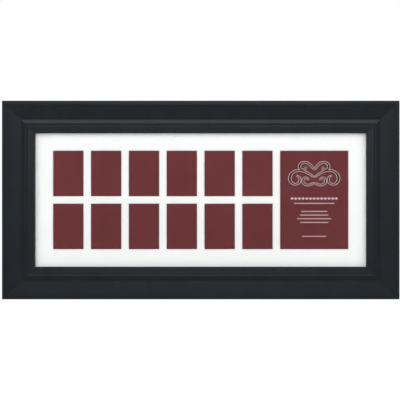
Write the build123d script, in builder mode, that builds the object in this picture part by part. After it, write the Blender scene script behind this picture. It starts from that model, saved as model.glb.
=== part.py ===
from build123d import *

import os

# Collage picture frame: a mitred wooden moulding holding clear facing, a white mat with
# thirteen bevel-cut windows, a coloured insert sheet and a hardboard back.
#
# The frame stands upright. X runs along its width, +Z is up and the picture side faces -Y.
# The origin lies on the underside of the bottom rail, in the middle of its length and depth.
# All sizes are in millimetres.

# Mat: twelve small windows in two rows, and one large window as tall as both rows
window_width = 50.8
window_height = 76.2
window_gap = 12.7
window_columns = 6
window_rows = 2
large_window_width = 114.3
mat_border = 31.75
bevel_angle = 45.0

# Flat layers in the rabbet, from the front to the back
facing_thickness = 2.0
mat_thickness = 1.4
insert_thickness = 0.3
back_board_thickness = 3.2
back_board_recess = 0.4
layer_side_clearance = 0.8

# Moulding section, seen from one end of a rail
moulding_width = 53.4
moulding_depth = 22.2
lip_width = 3.6
lip_thickness = 8.4
sight_edge_round = 1.6
band_width = 11.6
band_rise = 0.8
quirk_width = 0.9
quirk_depth = 0.4
bead_inner_step = 0.9
bead_crest_inset = 1.6
bead_crest_rise = 0.22
bead_crown_width = 5.0
bead_crown_fall = 0.6
bead_flank_width = 5.0
bead_flank_rise = 2.6
cove_sag = 0.2
shoulder_width = 6.7
shoulder_step = 1.3
outer_edge_round = 1.6

# V nails across each mitre, two to a corner
v_nail_leg = 6.5
v_nail_sheet = 0.6
v_nail_depth = 9.0
v_nail_slot_clearance = 0.02
v_nail_inset_shares = (0.24, 0.72)

# Turn buttons on the back of the rails
button_sheet = 1.0
button_hub_radius = 5.6
button_tip_radius = 3.6
button_reach = 20.0
button_lip_length = 5.0
button_lip_rise = 1.2
button_inset = 9.0
button_seat_gap = 0.15
button_place_share = 0.27

# Pan head screws with a cross recess, for the buttons and the hangers
screw_shank_radius = 1.7
screw_head_radius = 3.2
screw_head_height = 1.9
screw_top_radius = 2.3
screw_bite = 7.5
screw_pilot_clearance = 0.03
screw_hole_clearance = 0.08
recess_length = 3.4
recess_width = 0.8
recess_depth = 1.1

# D ring hangers on the back of the side rails
ring_wire_radius = 1.1
ring_wire_sides = 10
ring_inner_width = 14.0
ring_side_length = 6.0
ring_corner_radius = 2.3
ring_swing_clearance = 0.06
strap_sheet = 0.8
strap_length = 15.0
strap_side_play = 0.5
strap_hole_place = 8.6
hanger_height_share = 0.69
hanger_inset = 17.0

# Wall bumpers on the lower corners
bumper_radius = 5.5
bumper_height = 4.0
bumper_edge_slope = 1.2
bumper_inset = 27.0

# One overrun serves every cut
cut_overrun = 1.0

# Sizes that follow from the ones above
mat_width = 2 * mat_border + window_columns * (window_width + window_gap) + large_window_width
large_window_height = window_rows * window_height + (window_rows - 1) * window_gap
mat_height = 2 * mat_border + large_window_height
rabbet_width = mat_width + 2 * layer_side_clearance
rabbet_height = mat_height + 2 * layer_side_clearance
sight_width = rabbet_width - 2 * lip_width
sight_height = rabbet_height - 2 * lip_width
frame_width = sight_width + 2 * moulding_width
frame_height = sight_height + 2 * moulding_width
centre_height = frame_height / 2
layers_thickness = facing_thickness + mat_thickness + insert_thickness + back_board_thickness
rabbet_depth = layers_thickness + back_board_recess
back_y = moulding_depth / 2
ledge_y = back_y - rabbet_depth
rail_back_width = moulding_width - lip_width

# The back of the frame, drawn as seen from behind: its x runs towards -X and its y runs up
back_face = Plane(origin=(0, back_y, 0), x_dir=(-1, 0, 0), z_dir=(0, 1, 0))

# Each rail by name: its length, the middle of its outer edge, and the way in to the picture
rails = {
    "bottom_rail": (frame_width, (0, 0), (0, 1)),
    "top_rail": (frame_width, (0, frame_height), (0, -1)),
    "left_rail": (frame_height, (-frame_width / 2, centre_height), (1, 0)),
    "right_rail": (frame_height, (frame_width / 2, centre_height), (-1, 0)),
}


def section_outline():
    """Draws the moulding section: x from the outer edge inwards, y from the back forwards."""
    sight_y = rabbet_depth + lip_thickness
    band_x = moulding_width - band_width
    band_y = sight_y + band_rise
    bead_x = band_x - quirk_width
    quirk_y = band_y - quirk_depth
    bead_y = quirk_y + bead_inner_step
    crest = (bead_x - bead_crest_inset, bead_y + bead_crest_rise)
    crown = (bead_x - bead_crown_width, bead_y - bead_crown_fall)
    cove_end = (crown[0] - bead_flank_width, crown[1] - bead_flank_rise)
    step_y = moulding_depth - shoulder_step
    with BuildLine() as outline:
        back = Line((rail_back_width, 0), (0, 0))
        side = Line(back @ 1, (0, moulding_depth - outer_edge_round))
        corner = RadiusArc(side @ 1, (outer_edge_round, moulding_depth), outer_edge_round)
        shoulder = Line(corner @ 1, (shoulder_width, moulding_depth))
        step = Line(shoulder @ 1, (shoulder_width, step_y))
        cove = SagittaArc(step @ 1, cove_end, -cove_sag)
        flank = Line(cove @ 1, crown)
        bead = ThreePointArc(flank @ 1, crest, (bead_x, bead_y))
        quirk_side = Line(bead @ 1, (bead_x, quirk_y))
        quirk_floor = Line(quirk_side @ 1, (band_x, quirk_y))
        quirk_wall = Line(quirk_floor @ 1, (band_x, band_y))
        band = Line(quirk_wall @ 1, (moulding_width - sight_edge_round, sight_y))
        sight_round = RadiusArc(
            band @ 1, (moulding_width, sight_y - sight_edge_round), sight_edge_round
        )
        sight = Line(sight_round @ 1, (moulding_width, rabbet_depth))
        ledge = Line(sight @ 1, (rail_back_width, rabbet_depth))
        Line(ledge @ 1, back @ 0)
    return outline.line


def v_nail_corners():
    """Lists each corner on the back face as its place, and the signs of the two ways in."""
    corners = []
    for x_sign in (-1, 1):
        for y_sign in (1, -1):
            corner_y = 0 if y_sign > 0 else frame_height
            corners.append(((-x_sign * frame_width / 2, corner_y), (x_sign, y_sign)))
    return corners


def v_nail_outline(corner, signs, inset, grown):
    """Adds the two legs of a V nail to a sketch on the back face, grown all round."""
    apex = (corner[0] + signs[0] * inset, corner[1] + signs[1] * inset)
    leg = v_nail_leg + 2 * grown
    sheet = v_nail_sheet + 2 * grown
    for across, up in ((leg, sheet), (sheet, leg)):
        centre = (
            apex[0] + signs[0] * (across / 2 - grown),
            apex[1] + signs[1] * (up / 2 - grown),
        )
        with Locations(centre):
            Rectangle(across, up)


def button_places():
    """Lists each turn button by name: its rail, its pivot on the back face, its way in."""
    pivot = rail_back_width - button_inset
    along = button_place_share * rabbet_width
    side = frame_width / 2 - pivot
    top = frame_height - pivot
    return [
        ("top_left_turn_button", "top_rail", (along, top)),
        ("top_right_turn_button", "top_rail", (-along, top)),
        ("bottom_left_turn_button", "bottom_rail", (along, pivot)),
        ("bottom_right_turn_button", "bottom_rail", (-along, pivot)),
        ("left_turn_button", "left_rail", (side, centre_height)),
        ("right_turn_button", "right_rail", (-side, centre_height)),
    ]


def hanger_places():
    """Lists each hanger as its side, its rail, its ring axis on the back face and its way out."""
    axis_x = frame_width / 2 - rail_back_width + hanger_inset
    height = hanger_height_share * frame_height
    return [
        ("left", "left_rail", (axis_x, height), 1),
        ("right", "right_rail", (-axis_x, height), -1),
    ]


def hanger_screw_place(axis, outward):
    """The screw's place on the back face, outward of one hanger's ring axis."""
    return (axis[0] + outward * strap_hole_place, axis[1])


def screws_in(rail_name):
    """Lists the pilot holes that one rail needs, as places on the back face."""
    found = [place for _, owner, place in button_places() if owner == rail_name]
    for _, owner, axis, outward in hanger_places():
        if owner == rail_name:
            found.append(hanger_screw_place(axis, outward))
    return found


def make_rail(name):
    """One moulding length with mitred ends, nail slots and pilot holes."""
    length, edge, inward = rails[name]
    x_dir = Vector(inward[0], 0, inward[1])
    forward = Vector(0, -1, 0)
    along = x_dir.cross(forward)
    origin = Vector(edge[0], back_y, edge[1])
    with BuildPart() as rail:
        with BuildSketch(Plane(origin=origin, x_dir=x_dir, z_dir=along)):
            with BuildLine():
                add(section_outline())
            make_face()
        extrude(amount=length / 2, both=True)
        with BuildSketch(Plane(origin=origin, x_dir=along, z_dir=forward)):
            with BuildLine():
                Polyline(
                    (-length / 2, 0),
                    (length / 2, 0),
                    (length / 2 - moulding_width, moulding_width),
                    (-length / 2 + moulding_width, moulding_width),
                    close=True,
                )
            make_face()
        extrude(amount=moulding_depth, mode=Mode.INTERSECT)
        with BuildSketch(back_face):
            for corner, signs in v_nail_corners():
                for share in v_nail_inset_shares:
                    v_nail_outline(corner, signs, share * rail_back_width, v_nail_slot_clearance)
        extrude(amount=-v_nail_depth - v_nail_slot_clearance, mode=Mode.SUBTRACT)
        pilot = screw_shank_radius + screw_pilot_clearance
        for place in screws_in(name):
            with Locations(back_face.location * Location(place)):
                Hole(pilot, depth=screw_bite + screw_pilot_clearance)
    rail.part.label = name
    return rail.part


def make_v_nails():
    """Eight bent steel V nails, driven in flush across the mitres."""
    with BuildPart() as nails:
        with BuildSketch(back_face):
            for corner, signs in v_nail_corners():
                for share in v_nail_inset_shares:
                    v_nail_outline(corner, signs, share * rail_back_width, 0)
        extrude(amount=-v_nail_depth)
    nails.part.label = "corner_v_nails"
    return nails.part


def make_layer(name, front_y, thickness):
    """One flat sheet of the picture pack, cut to the mat's size, starting at front_y."""
    face = Plane(origin=(0, front_y, centre_height), x_dir=(-1, 0, 0), z_dir=(0, 1, 0))
    with BuildPart() as sheet:
        with BuildSketch(face):
            Rectangle(mat_width, mat_height)
        extrude(amount=thickness)
    sheet.part.label = name
    return sheet.part


def window_centres():
    """Lists the centres of the small windows from the middle of the mat, seen from the front."""
    first_x = -mat_width / 2 + mat_border + window_width / 2
    first_y = -mat_height / 2 + mat_border + window_height / 2
    return [
        (first_x + column * (window_width + window_gap), first_y + row * (window_height + window_gap))
        for column in range(window_columns)
        for row in range(window_rows)
    ]


def make_mat():
    """The mat board. Each window is cut at the bevel angle, so it is smallest at the back."""
    mat_front_y = ledge_y + facing_thickness
    mat_back = Plane(
        origin=(0, mat_front_y + mat_thickness, centre_height), x_dir=(1, 0, 0), z_dir=(0, -1, 0)
    )
    with BuildPart() as mat:
        with BuildSketch(mat_back):
            Rectangle(mat_width, mat_height)
        extrude(amount=mat_thickness)
        with BuildSketch(mat_back):
            with Locations(*window_centres()):
                Rectangle(window_width, window_height)
            large_x = mat_width / 2 - mat_border - large_window_width / 2
            with Locations((large_x, 0)):
                Rectangle(large_window_width, large_window_height)
        extrude(amount=mat_thickness, taper=-bevel_angle, mode=Mode.SUBTRACT)
    mat.part.label = "window_mat"
    return mat.part


def make_button(name, place, inward):
    """A stamped turn button: a tapered plate with its tip turned up for a fingertip."""
    flat_end = button_reach - button_lip_length
    rise = button_lip_rise
    origin = back_face.from_local_coords(Vector(place[0], place[1], button_seat_gap))
    x_dir = Vector(inward[0], 0, inward[1])
    seat = Plane(origin=origin, x_dir=x_dir, z_dir=(0, 1, 0))
    with BuildPart() as button:
        with BuildSketch(seat):
            Circle(button_hub_radius)
            with Locations((button_reach - button_tip_radius, 0)):
                Circle(button_tip_radius)
            make_hull()
        extrude(amount=button_sheet + rise)
        with BuildSketch(Plane(origin=origin, x_dir=x_dir, z_dir=x_dir.cross(Vector(0, 1, 0)))):
            with BuildLine():
                Polyline(
                    (-button_hub_radius, 0),
                    (flat_end, 0),
                    (button_reach, rise),
                    (button_reach, rise + button_sheet),
                    (flat_end, button_sheet),
                    (-button_hub_radius, button_sheet),
                    close=True,
                )
            make_face()
        extrude(amount=button_hub_radius + cut_overrun, both=True, mode=Mode.INTERSECT)
        with Locations(seat.location * Location((0, 0, button_sheet))):
            Hole(screw_shank_radius + screw_hole_clearance, depth=button_sheet + cut_overrun)
    button.part.label = name
    return button.part


def make_screws(label, places, head_y):
    """Pan head wood screws at places on the back face, with heads seated head_y behind it."""
    total = head_y + screw_bite
    with BuildPart() as screws:
        for place in places:
            origin = back_face.from_local_coords(Vector(place[0], place[1], head_y))
            with BuildSketch(Plane(origin=origin, x_dir=(1, 0, 0), z_dir=(0, 0, 1))):
                with BuildLine():
                    Polyline(
                        (0, -total),
                        (screw_shank_radius, -total),
                        (screw_shank_radius, 0),
                        (screw_head_radius, 0),
                        (screw_top_radius, screw_head_height),
                        (0, screw_head_height),
                        close=True,
                    )
                make_face()
            revolve(axis=Axis(origin, (0, 1, 0)))
            head_top = origin + Vector(0, screw_head_height, 0)
            with BuildSketch(Plane(origin=head_top, x_dir=(1, 0, 0), z_dir=(0, 1, 0))):
                Rectangle(recess_length, recess_width)
                Rectangle(recess_width, recess_length)
            extrude(amount=-recess_depth, mode=Mode.SUBTRACT)
    screws.part.label = label
    return screws.part


def knuckle_height():
    """Height of the ring's axis behind the back face: the folded strap lies flat on the rail."""
    return ring_wire_radius + ring_swing_clearance + strap_sheet


def ring_bar_length():
    """Straight part of the ring's bar, between its corner bends."""
    return ring_inner_width + 2 * ring_wire_radius - 2 * ring_corner_radius


def make_strap(side, axis, outward):
    """A strap folded round the ring's bar, its two layers pressed together behind the knuckle."""
    width = ring_bar_length() - 2 * strap_side_play
    both_layers = 2 * strap_sheet
    knuckle = knuckle_height()
    x_dir = Vector(-outward, 0, 0)
    up = Vector(0, 1, 0)
    origin = back_face.from_local_coords(Vector(axis[0], axis[1], 0))
    with BuildPart() as strap:
        with BuildSketch(Plane(origin=origin, x_dir=x_dir, z_dir=x_dir.cross(up))):
            with Locations((strap_length / 2, both_layers / 2)):
                Rectangle(strap_length, both_layers)
            with Locations((0, knuckle)):
                Circle(knuckle)
            with Locations((0, knuckle)):
                Circle(ring_wire_radius + ring_swing_clearance, mode=Mode.SUBTRACT)
        extrude(amount=width / 2, both=True)
        with BuildSketch(Plane(origin=origin, x_dir=x_dir, z_dir=up)):
            with Locations((-knuckle, 0)):
                Rectangle(strap_length + knuckle - width / 2, width, align=(Align.MIN, Align.CENTER))
            with Locations((strap_length - width / 2, 0)):
                Circle(width / 2)
        extrude(amount=2 * knuckle, mode=Mode.INTERSECT)
        place = hanger_screw_place(axis, outward)
        with Locations(back_face.location * Location((place[0], place[1], both_layers))):
            Hole(screw_shank_radius + screw_hole_clearance, depth=both_layers + cut_overrun)
    strap.part.label = f"{side}_hanger_strap"
    return strap.part


def make_ring(side, axis, outward):
    """A D shaped wire ring whose straight bar turns in the strap's fold."""
    half_bar = ring_bar_length() / 2
    half_width = ring_inner_width / 2 + ring_wire_radius
    end = ring_corner_radius + ring_side_length
    x_dir = Vector(outward, 0, 0)
    origin = back_face.from_local_coords(Vector(axis[0], axis[1], knuckle_height()))
    flat = Plane(origin=origin, x_dir=x_dir, z_dir=(0, 1, 0))
    with BuildPart() as ring:
        with BuildLine(flat) as path:
            Line((0, 0), (0, half_bar))
            RadiusArc((0, half_bar), (ring_corner_radius, half_width), ring_corner_radius)
            Line((ring_corner_radius, half_width), (end, half_width))
            RadiusArc((end, half_width), (end, -half_width), half_width)
            Line((end, -half_width), (ring_corner_radius, -half_width))
            RadiusArc((ring_corner_radius, -half_width), (0, -half_bar), ring_corner_radius)
            Line((0, -half_bar), (0, 0))
        with BuildSketch(Plane(origin=path.line @ 0, z_dir=path.line % 0)):
            RegularPolygon(ring_wire_radius, ring_wire_sides)
        sweep(path=path.line)
    ring.part.label = f"{side}_hanger_ring"
    return ring.part


def make_bumpers():
    """Two soft round bumpers that keep the lower corners off the wall."""
    with BuildPart() as bumpers:
        with BuildSketch(back_face):
            for x_sign in (-1, 1):
                with Locations((x_sign * (frame_width / 2 - bumper_inset), bumper_inset)):
                    Circle(bumper_radius)
        extrude(amount=bumper_height)
        outer_rims = bumpers.edges().filter_by(GeomType.CIRCLE).group_by(Axis.Y)[-1]
        chamfer(outer_rims, bumper_edge_slope)
    bumpers.part.label = "wall_bumpers"
    return bumpers.part


def build_all():
    """Makes every piece of the frame."""
    pieces = [make_rail(name) for name in rails]
    pieces.append(make_v_nails())

    front = ledge_y
    pieces.append(make_layer("clear_facing", front, facing_thickness))
    pieces.append(make_mat())
    front += facing_thickness + mat_thickness
    pieces.append(make_layer("insert_sheet", front, insert_thickness))
    front += insert_thickness
    pieces.append(make_layer("back_board", front, back_board_thickness))

    for name, owner, place in button_places():
        inward = rails[owner][2]
        pieces.append(make_button(name, place, inward))
    button_head = button_sheet + 2 * button_seat_gap
    button_screws = [place for _, _, place in button_places()]
    pieces.append(make_screws("turn_button_screws", button_screws, button_head))

    strap_screws = []
    for side, _, axis, outward in hanger_places():
        pieces.append(make_strap(side, axis, outward))
        pieces.append(make_ring(side, axis, outward))
        strap_screws.append(hanger_screw_place(axis, outward))
    pieces.append(make_screws("hanger_screws", strap_screws, 2 * strap_sheet))
    pieces.append(make_bumpers())
    return pieces


os.makedirs("parts", exist_ok=True)
for piece in build_all():
    export_step(piece, f"parts/{piece.label}.step")
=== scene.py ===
# %% [markdown]
# # A collage picture frame
# The frame hangs on a wall: four mitred lengths of black moulding round a white mat, whose
# windows show the sheet behind them. Most of what a person sees is flat, so the look lives in
# the moulding's curves, the cut edges of the mat and the way satin paint takes the light. The
# exact sizes of the real parts come first, and each finish and shape is then set on them.

import bpy
import numpy as np
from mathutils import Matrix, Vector


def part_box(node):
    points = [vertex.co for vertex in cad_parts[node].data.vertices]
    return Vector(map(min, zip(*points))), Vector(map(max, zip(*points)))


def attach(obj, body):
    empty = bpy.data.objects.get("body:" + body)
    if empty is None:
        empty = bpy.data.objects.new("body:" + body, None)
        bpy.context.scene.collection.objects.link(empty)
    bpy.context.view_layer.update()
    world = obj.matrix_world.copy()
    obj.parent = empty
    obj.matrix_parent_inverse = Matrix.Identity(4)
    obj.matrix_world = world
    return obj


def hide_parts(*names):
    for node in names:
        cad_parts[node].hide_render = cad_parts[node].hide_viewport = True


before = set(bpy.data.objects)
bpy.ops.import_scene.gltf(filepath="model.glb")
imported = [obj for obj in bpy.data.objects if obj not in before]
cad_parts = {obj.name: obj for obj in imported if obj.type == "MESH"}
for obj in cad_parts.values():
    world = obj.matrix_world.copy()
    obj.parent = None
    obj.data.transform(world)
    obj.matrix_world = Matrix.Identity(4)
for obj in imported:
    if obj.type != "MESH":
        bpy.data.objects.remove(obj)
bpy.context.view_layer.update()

# %% [markdown]
# A picture framer works in millimetres and Blender in metres, so every shape below is worked
# out in millimetres and turned into metres in one place. The outside of the frame, the line
# where the mat begins and the plane of the back are read from the model itself. The finished
# shapes then lie exactly where the solid parts are.

# %% Sizes read from the model
MM = 0.001


def box_mm(node):
    """Lowest and highest corner of one part, in millimetres."""
    low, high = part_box(node)
    return np.array(low) / MM, np.array(high) / MM


bottom_low, bottom_high = box_mm("bottom_rail")
top_high = box_mm("top_rail")[1]
mat_low, mat_high = box_mm("window_mat")
sheet_low = box_mm("insert_sheet")[0]

frame_width = bottom_high[0] - bottom_low[0]
frame_height = top_high[2]
moulding_width = bottom_high[2]
moulding_depth = bottom_high[1] - bottom_low[1]
back_y = bottom_high[1]
centre_height = frame_height / 2
print("outside:", round(frame_width, 2), "x", round(frame_height, 2), "x", round(moulding_depth, 2))

# %% [markdown]
# Every new part here is a surface over a grid: rows one way, columns the other, and a formula
# that gives each crossing its place. numpy works out the whole grid at once, and one helper
# joins neighbouring points into four-sided faces. Each row closes on itself, as a tube does.
# The rows can close on each other too, as a ring does, or else each end gets one flat face.


# %% From a grid of points to a mesh
def grid_faces(rows, columns, close_rows):
    """Corner numbers of the faces: each point joins the next column and the next row."""
    row = np.arange(rows if close_rows else rows - 1)
    a, b = np.meshgrid(row, np.arange(columns), indexing="ij")
    next_a = (a + 1) % rows
    next_b = (b + 1) % columns
    corners = (a * columns + b, a * columns + next_b, next_a * columns + next_b, next_a * columns + b)
    return np.stack(corners, axis=-1).reshape(-1, 4)


def outward(points, faces):
    """True if the faces close a volume above zero, because then they face outwards."""
    volume = 0.0
    for corners in ((0, 1, 2), (0, 2, 3)):
        a, b, c = (points[faces[:, corner]] for corner in corners)
        volume += np.einsum("ij,ij->i", a, np.cross(b, c)).sum()
    return volume > 0


def grid_mesh(points, close_rows=False):
    """Points, quads and end faces of one grid, shaped (rows, columns, 3), facing outwards."""
    rows, columns = points.shape[:2]
    flat = points.reshape(-1, 3)
    quads = grid_faces(rows, columns, close_rows)
    ends = []
    if not close_rows:
        first = np.arange(columns)
        ends = [first[::-1], first + (rows - 1) * columns]
    if not outward(flat - flat.mean(axis=0), quads):
        quads = quads[:, ::-1]
        ends = [end[::-1] for end in ends]
    return flat, quads, ends


def to_the_left(steps):
    """Unit vectors square to each step of a flat line, on its left."""
    unit = steps / np.linalg.norm(steps, axis=1)[:, None]
    return np.stack((-unit[:, 1], unit[:, 0]), axis=1)


def full_turn(count):
    """Even angles once round, without the last one, which would be the first again."""
    return np.linspace(0, 2 * np.pi, count, endpoint=False)


# %% [markdown]
# Blender stores a mesh as long flat lists: all places, all corner numbers, and where each face
# starts. Handing those lists over whole is far quicker than adding points one by one. Edges
# that bend by more than about thirty degrees stay crisp, and gentler ones are shaded smooth,
# as a cut or pressed edge looks beside a rounded one.

# %% From arrays to a Blender object
CRISP_ANGLE = np.radians(32.0)


def into_scene(name, data):
    """A new object for a mesh, a lamp or a camera."""
    thing = bpy.data.objects.new(name, data)
    bpy.context.scene.collection.objects.link(thing)
    return thing


def add_piece(name, grids, finishes, body, stands_for=None, uv=None, finish_index=None):
    """Joins grids of (points in mm, quads, end faces) into one object, in place of a solid part."""
    places, corners, lengths = [], [], []
    offset = 0
    for points, quads, ends in grids:
        places.append(points)
        corners.append((quads + offset).ravel())
        lengths.append(np.full(len(quads), 4))
        for end in ends:
            corners.append(np.asarray(end) + offset)
            lengths.append(np.array([len(end)]))
        offset += len(points)
    places = np.concatenate(places) * MM
    corners = np.concatenate(corners)
    lengths = np.concatenate(lengths)
    mesh = bpy.data.meshes.new(name)
    mesh.vertices.add(len(places))
    mesh.vertices.foreach_set("co", places.astype(np.float32).ravel())
    mesh.loops.add(len(corners))
    mesh.loops.foreach_set("vertex_index", corners.astype(np.int32))
    mesh.polygons.add(len(lengths))
    starts = np.concatenate(([0], np.cumsum(lengths)[:-1]))
    mesh.polygons.foreach_set("loop_start", starts.astype(np.int32))
    if finish_index is not None:
        mesh.polygons.foreach_set("material_index", np.asarray(finish_index, dtype=np.int32))
    mesh.update(calc_edges=True)
    mesh.validate()
    mesh.polygons.foreach_set("use_smooth", np.ones(len(mesh.polygons), dtype=bool))
    mesh.set_sharp_from_angle(angle=CRISP_ANGLE)
    if uv is not None:
        layer = mesh.uv_layers.new(name="UVMap")
        layer.data.foreach_set("uv", (uv[corners] * MM).astype(np.float32).ravel())
    piece = into_scene(name, mesh)
    for finish in finishes:
        mesh.materials.append(finish)
    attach(piece, body)
    if stands_for is not None:
        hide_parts(stands_for)
    return piece


# %% [markdown]
# A finish is a small tree of nodes round one shader. The helpers keep that short: one adds a
# node, one starts a material and one makes a noise pattern at a real size. Patterns read Object
# coordinates, which are metres on the frame itself, or the length and girth of a rail where the
# grain follows it.


# %% Nodes, materials and patterns
def add_node(tree, kind, **inputs):
    """A new node; each input, with underscores for spaces, takes a value or another's output."""
    node = tree.nodes.new("ShaderNode" + kind)
    for name, source in inputs.items():
        socket = node.inputs[name.replace("_", " ")]
        if isinstance(source, bpy.types.NodeSocket):
            tree.links.new(source, socket)
        else:
            socket.default_value = source
    return node


def new_finish(name, roughness, specular=0.5, metallic=0.0):
    """A material and its Principled shader, whose even values sit on the shader itself."""
    material = bpy.data.materials.new(name)
    material.use_nodes = True
    shader = material.node_tree.nodes["Principled BSDF"]
    shader.inputs["Roughness"].default_value = roughness
    shader.inputs["Specular IOR Level"].default_value = specular
    shader.inputs["Metallic"].default_value = metallic
    return material, shader


def pattern(shader, per_metre, detail=3.0, stretch=(1.0, 1.0, 1.0), source="Object", rough=0.5):
    """Noise with about this many spots to the metre, drawn out by stretch."""
    tree = shader.id_data
    place = add_node(tree, "TexCoord").outputs[source]
    place = add_node(tree, "Mapping", Vector=place, Scale=stretch).outputs["Vector"]
    noise = add_node(tree, "TexNoise", Vector=place, Scale=per_metre, Detail=detail, Roughness=rough)
    return noise.outputs["Fac"]


# %% [markdown]
# No real surface is quite even, so a pattern drives the shader's colour, its roughness or its
# relief. Most of a noise lies in the middle of its range, and a roughness is mapped from there.

# %% Patterns that drive a shader
PATTERN_LOW, PATTERN_HIGH = 0.3, 0.7


def colour_by(shader, value, *stops):
    """Runs a pattern through colour stops, each given as (place, red, green, blue)."""
    ramp = add_node(shader.id_data, "ValToRGB", Fac=value)
    elements = ramp.color_ramp.elements
    while len(elements) < len(stops):
        elements.new(0.5)
    for element, (place, *colour) in zip(elements, stops):
        element.position = place
        element.color = (*colour, 1.0)
    shader.id_data.links.new(ramp.outputs["Color"], shader.inputs["Base Color"])


def roughen_by(shader, value, low, high):
    """Maps a pattern's middle range onto a roughness from low to high."""
    middle_range = {"From_Min": PATTERN_LOW, "From_Max": PATTERN_HIGH}
    node = add_node(shader.id_data, "MapRange", Value=value, To_Min=low, To_Max=high, **middle_range)
    shader.id_data.links.new(node.outputs["Result"], shader.inputs["Roughness"])


def raise_by(shader, value, height_mm, strength=1.0):
    """A bump of this height from a pattern, laid over the bump before it if there is one."""
    links = shader.id_data.links
    normal = shader.inputs["Normal"]
    distance = height_mm * MM
    bump = add_node(shader.id_data, "Bump", Height=value, Distance=distance, Strength=strength)
    if normal.is_linked:
        links.new(normal.links[0].from_socket, bump.inputs["Normal"])
    links.new(bump.outputs["Normal"], normal)


# %% [markdown]
# The moulding is sprayed satin black. Sprayed paint is never quite even: it dries with a faint
# orange-peel skin, its gloss drifts a little along the length, and under the film the grain of
# the wood still shows as the finest of ridges. The colour itself is almost black with a touch of
# blue, and most of what the eye reads as its tone is the sheen.

# %% Satin black paint
PAINT_ROUGHNESS, GLOSS_DRIFT = 0.30, 0.03
satin_black, shader = new_finish("satin_black_paint", PAINT_ROUGHNESS, specular=0.085)
drift = pattern(shader, 26.0, detail=2.0)
colour_by(shader, drift, (0.35, 0.0090, 0.0124, 0.0156), (0.65, 0.0106, 0.0144, 0.0180))
gloss = pattern(shader, 90.0)
roughen_by(shader, gloss, PAINT_ROUGHNESS - GLOSS_DRIFT, PAINT_ROUGHNESS + GLOSS_DRIFT)
grain_ridges = pattern(shader, 420.0, detail=4.0, stretch=(0.03, 1.0, 1.0), source="UV")
raise_by(shader, grain_ridges, 0.012, strength=0.5)
peel = pattern(shader, 1100.0, detail=1.0)
raise_by(shader, peel, 0.006, strength=0.6)

# %% [markdown]
# Behind, the rails are left bare. The wood is a pale softwood: long fibres with darker streaks
# of late growth running the length of the rail, and short pores. The noise for the streaks is
# drawn out fifty times along the grain, and the finer one for the pores twenty-five times. Both
# read the rail's own length and girth, so the grain turns the corner with each rail.

# %% Bare softwood
bare_wood, shader = new_finish("bare_softwood", 0.62, specular=0.35)
streaks = pattern(shader, 160.0, detail=5.0, stretch=(0.02, 1.0, 1.0), source="UV", rough=0.6)
colour_by(
    shader, streaks, (0.3, 0.56, 0.40, 0.24), (0.5, 0.66, 0.49, 0.31), (0.72, 0.45, 0.29, 0.155)
)
pores = pattern(shader, 900.0, stretch=(0.04, 1.0, 1.0), source="UV")
roughen_by(shader, pores, 0.55, 0.72)
raise_by(shader, pores, 0.05, strength=0.7)

# %% [markdown]
# The mat is solid white board. It isn't a flat white: paper fibres give it a soft tooth about
# half a millimetre across, and the pulp has the slightest warm cloud in it. The same white runs
# right through, so the sloping cut round each window needs no other colour and shows only by the
# way it catches the light.

# %% White mat board
mat_board, shader = new_finish("white_mat_board", 0.85, specular=0.25)
cloud = pattern(shader, 22.0, detail=4.0)
colour_by(shader, cloud, (0.3, 0.925, 0.925, 0.92), (0.7, 0.945, 0.945, 0.94))
tooth = pattern(shader, 1900.0, detail=4.0, rough=0.65)
raise_by(shader, tooth, 0.03, strength=0.45)
roughen_by(shader, tooth, 0.8, 0.92)

# %% [markdown]
# Behind the windows lies one sheet of dark red paper with a pale ornament printed on it. The
# printed red is laid down by rollers, so it is very slightly uneven in broad patches and speckled
# at the scale of the fibres. The inks sit on top and are a little smoother.

# %% Printed paper and its inks
maroon_paper, shader = new_finish("maroon_printed_paper", 0.7, specular=0.06)
patches = pattern(shader, 14.0)
colour_by(shader, patches, (0.35, 0.139, 0.0290, 0.0314), (0.65, 0.149, 0.0320, 0.0344))
fibres = pattern(shader, 2600.0)
raise_by(shader, fibres, 0.012, strength=0.4)
roughen_by(shader, fibres, 0.64, 0.78)


def ink_finish(name, roughness, specular, spots, *stops):
    """An even ink with a faint mottle and the thinnest relief."""
    ink, shader = new_finish(name, roughness, specular=specular)
    mottle = pattern(shader, spots)
    colour_by(shader, mottle, *stops)
    raise_by(shader, mottle, 0.004, strength=0.4)
    return ink


pale_ink = ink_finish(
    "pale_rose_ink", 0.5, 0.3, 700.0, (0.3, 0.60, 0.46, 0.45), (0.7, 0.70, 0.56, 0.55)
)
dark_ink = ink_finish(
    "dark_wine_ink", 0.55, 0.12, 700.0, (0.3, 0.016, 0.005, 0.006), (0.7, 0.024, 0.008, 0.009)
)
# Painted shade: the deep maroon of the line that stands for the mat's shadow inside each window.
painted_shade_ink = ink_finish(
    "painted_window_shade_ink", 0.6, 0.1, 500.0, (0.3, 0.074, 0.0225, 0.0235), (0.7, 0.084, 0.0265, 0.0275)
)

# %% [markdown]
# The facing is clear acrylic. Seen straight on it all but vanishes, and seen from the side it
# takes more and more of the room's light. That rise is what Fresnel means, so a Fresnel node
# mixes a clear shader with a polished one. The index is low, as on a low-glare picture sheet.
# The floor and the surroundings are mixed by the same two helpers.

# %% Clear facing
def empty_material(name):
    """A material whose tree holds only its output."""
    material = bpy.data.materials.new(name)
    material.use_nodes = True
    tree = material.node_tree
    tree.nodes.remove(tree.nodes["Principled BSDF"])
    return material, tree


def show_mix(tree, share, one, other):
    """Sends a mix of two shaders to the tree's output; share is the second one's part."""
    mix = add_node(tree, "MixShader", Fac=share)
    tree.links.new(one.outputs[0], mix.inputs[1])
    tree.links.new(other.outputs[0], mix.inputs[2])
    output = next(node for node in tree.nodes if node.bl_idname.startswith("ShaderNodeOutput"))
    tree.links.new(mix.outputs["Shader"], output.inputs["Surface"])


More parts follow.
